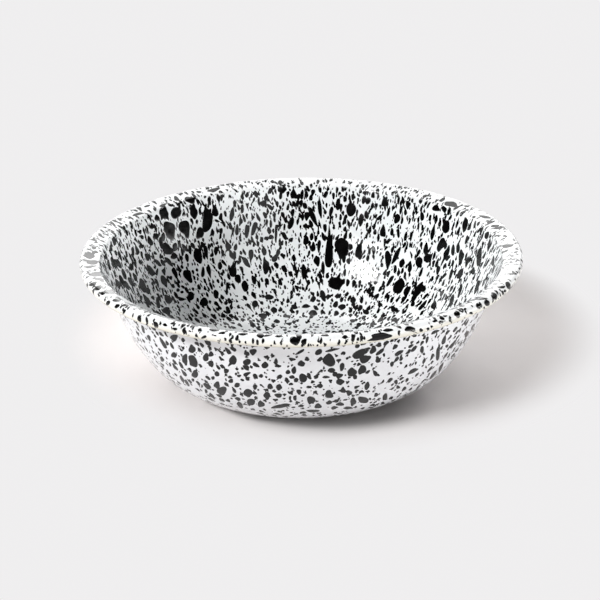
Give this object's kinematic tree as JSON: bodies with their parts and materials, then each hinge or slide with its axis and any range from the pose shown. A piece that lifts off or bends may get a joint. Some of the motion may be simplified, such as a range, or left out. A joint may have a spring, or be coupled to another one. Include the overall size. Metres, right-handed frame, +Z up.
{
  "type": "enamel basin bowl",
  "caption": "Round enamelled steel basin bowl with a short lip that rises to a rolled bead, and a black splatter pattern on white.",
  "frame": {"origin": "centre of the plane that the bowl stands on", "axes": "+Z up along the bowl's axis; the bowl is the same all round, so +X and +Y are free"},
  "size_m": [0.311, 0.311, 0.095],
  "materials": {
    "sheet_steel": "bare drawn sheet, seen only inside the rolled bead",
    "dark_enamel": "glossy fired enamel, for the ground coat and the splatter",
    "inside_enamel": "glossy fired enamel, cool white",
    "outside_enamel": "glossy fired enamel, faintly lavender white",
    "rim_enamel": "glossy fired enamel, warm white",
    "hem_enamel": "glossy fired enamel, cream where it drained thin"
  },
  "bodies": {
    "root": {"steel_shell": "sheet_steel", "inside_ground_coat": "dark_enamel", "outside_ground_coat": "dark_enamel", "inside_cover_coat": "inside_enamel", "outside_cover_coat": "outside_enamel", "rim_cover_coat": "rim_enamel", "rim_hem_coat": "hem_enamel", "base_cover_coat": "outside_enamel"}
  },
  "joints": []
}
